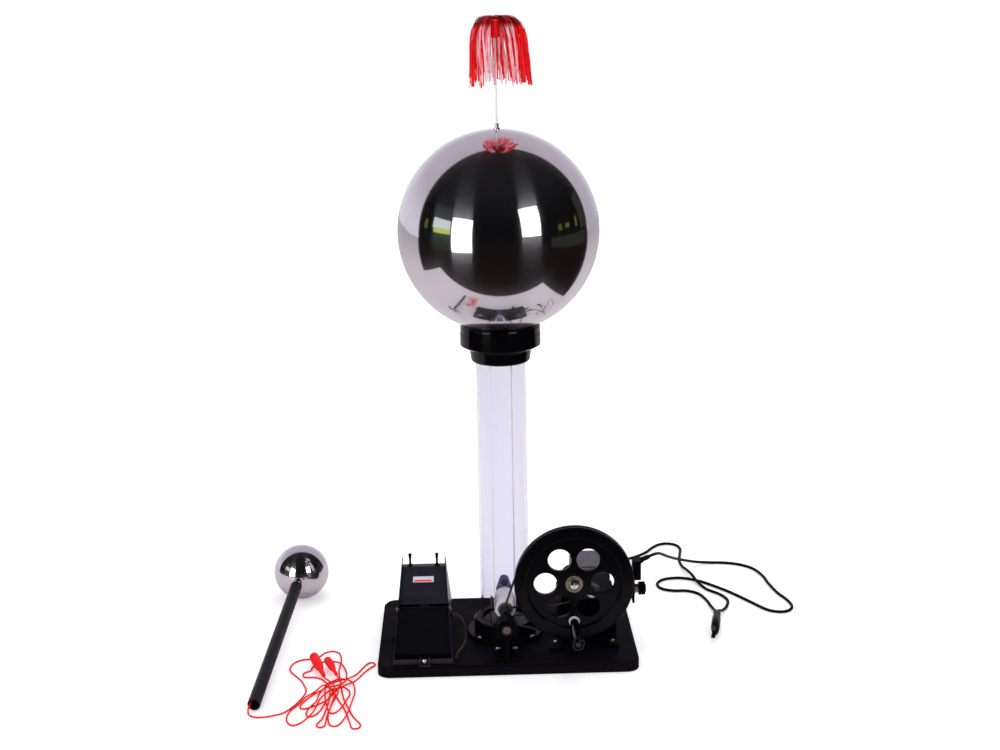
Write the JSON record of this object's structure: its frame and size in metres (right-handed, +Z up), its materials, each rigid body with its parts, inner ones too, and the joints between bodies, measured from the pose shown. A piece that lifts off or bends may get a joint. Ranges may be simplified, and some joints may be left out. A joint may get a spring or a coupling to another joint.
{
  "type": "van de graaff generator",
  "caption": "Electrostatic generator: dome on a clear column with a charge belt, hand wheel, motor drive, foot controller, plume and discharge wand.",
  "frame": {"origin": "centre of the base board's underside, on the table", "axes": "+Z up; +Y to the back; +X to the right, towards the hand wheel"},
  "size_m": [0.8734, 0.6695, 0.9732],
  "materials": {
    "board_paint": "satin black painted board",
    "black_plastic": "moulded black, satin",
    "gloss_black": "glossy black moulding",
    "acrylic": "clear acrylic tube",
    "dome_steel": "mirror polished stainless steel",
    "chrome": "bright plated",
    "steel": "turned steel",
    "brass": "brass",
    "bronze": "sintered bronze",
    "nylon_white": "white nylon",
    "brown_fibre": "brown fibre",
    "aluminium": "turned aluminium",
    "belt_fabric": "thin pale belt",
    "rubber": "black rubber",
    "wheel_paint": "black enamelled casting",
    "frame_paint": "satin black paint",
    "plate_lacquer": "violet grey lacquer",
    "motor_grey": "grey enamel",
    "pedal_grey": "grey painted sheet steel",
    "treadle_dark": "dark grey painted sheet steel",
    "zinc": "zinc plated",
    "ceramic": "ceramic body",
    "label_silver": "plain silver plate",
    "cord_black": "black flex",
    "red_plastic": "red moulding",
    "red_flex": "red flex",
    "red_strips": "red and white strips",
    "rod_white": "pale rod"
  },
  "bodies": {
    "base": {"base_board": "board_paint", "column_foot": "gloss_black", "column_tube": "acrylic", "collar_cup": "gloss_black", "collar_ring": "gloss_black", "shaft_bushes": "bronze", "lower_comb": "brass", "upper_frame": "aluminium", "upper_comb": "brass", "charge_belt": "belt_fabric", "bearing_block": "frame_paint", "rear_plate": "plate_lacquer", "fixing_screws": "zinc", "axle_stud": "chrome", "hand_belt": "rubber", "drive_frame": "frame_paint", "motor_saddle": "frame_paint", "motor_case": "motor_grey", "motor_bells": "motor_grey", "motor_belt": "rubber", "clamp_bracket": "frame_paint", "terminal_block": "black_plastic", "clamp_bolt": "chrome", "pedal_case": "pedal_grey", "hinge_pin": "zinc", "treadle_spring": "steel", "speed_resistor": "ceramic", "pedal_pegs": "black_plastic", "pedal_label": "label_silver", "pedal_clip": "zinc", "lead_glands": "rubber", "pedal_lead": "cord_black", "cord_motor": "cord_black", "cord_terminal": "cord_black", "plug_body": "black_plastic", "plug_blades": "brass"},
    "wheel": {"hand_wheel": "wheel_paint", "hub_bearing": "brass", "crank_pin": "chrome"},
    "grip": {"crank_grip": "gloss_black"},
    "shaft": {"drive_shaft": "steel", "drive_pulley": "black_plastic", "lower_roller": "nylon_white", "roller_plugs": "brown_fibre"},
    "top_roller": {"upper_roller": "nylon_white", "upper_spindle": "steel"},
    "rotor": {"motor_shaft": "steel", "motor_pulley": "aluminium"},
    "knob": {"clamp_knob": "black_plastic"},
    "treadle": {"pedal_treadle": "treadle_dark"},
    "dome": {"dome_shell": "dome_steel", "dome_socket": "chrome"},
    "plume": {"plume_rod": "rod_white", "plume_head": "red_plastic", "plume_strips": "red_strips"},
    "wand": {"wand_ball": "dome_steel", "wand_handle": "gloss_black", "red_lead": "red_flex", "red_heap": "red_flex", "red_clips": "red_plastic"}
  },
  "joints": [
    {"name": "wheel_spin", "type": "hinge", "parent": "base", "child": "wheel", "pos_m": [0.1035, -0.07, 0.123], "axis": [0, -1, 0], "continuous": true},
    {"name": "grip_spin", "type": "hinge", "parent": "wheel", "child": "grip", "pos_m": [0.1035, -0.12, 0.06], "axis": [0, -1, 0], "continuous": true},
    {"name": "shaft_spin", "type": "hinge", "parent": "base", "child": "shaft", "pos_m": [-0.002, -0.01, 0.0675], "axis": [0, -1, 0], "continuous": true},
    {"name": "top_roller_spin", "type": "hinge", "parent": "base", "child": "top_roller", "pos_m": [-0.002, -0.01, 0.571], "axis": [0, -1, 0], "continuous": true},
    {"name": "rotor_spin", "type": "hinge", "parent": "base", "child": "rotor", "pos_m": [0.1335, -0.056, 0.104], "axis": [0, -1, 0], "continuous": true},
    {"name": "knob_turn", "type": "hinge", "parent": "base", "child": "knob", "pos_m": [0.21, -0.011, 0.086], "axis": [1, 0, 0], "continuous": true},
    {"name": "treadle_press", "type": "hinge", "parent": "base", "child": "treadle", "pos_m": [-0.13, -0.04, 0.072], "axis": [1, 0, 0], "range_deg": [0, 5], "stiffness_Nm_per_rad": 4, "springref_deg": -6.88, "deforming": ["treadle_spring"]},
    {"name": "dome_lift", "type": "slide", "parent": "base", "child": "dome", "axis": [0, 0, 1], "range_m": [0, 0.25]},
    {"name": "plume_lift", "type": "slide", "parent": "dome", "child": "plume", "axis": [0, 0, 1], "range_m": [0, 0.1]},
    {"name": "wand_lift", "type": "slide", "parent": "base", "child": "wand", "axis": [0, 0, 1], "range_m": [0, 0.3]}
  ],
  "couplings": [
    {"joint": "shaft_spin", "follows": "wheel_spin", "ratio": 12.714},
    {"joint": "top_roller_spin", "follows": "wheel_spin", "ratio": 12.714},
    {"joint": "rotor_spin", "follows": "wheel_spin", "ratio": 9.8889}
  ]
}
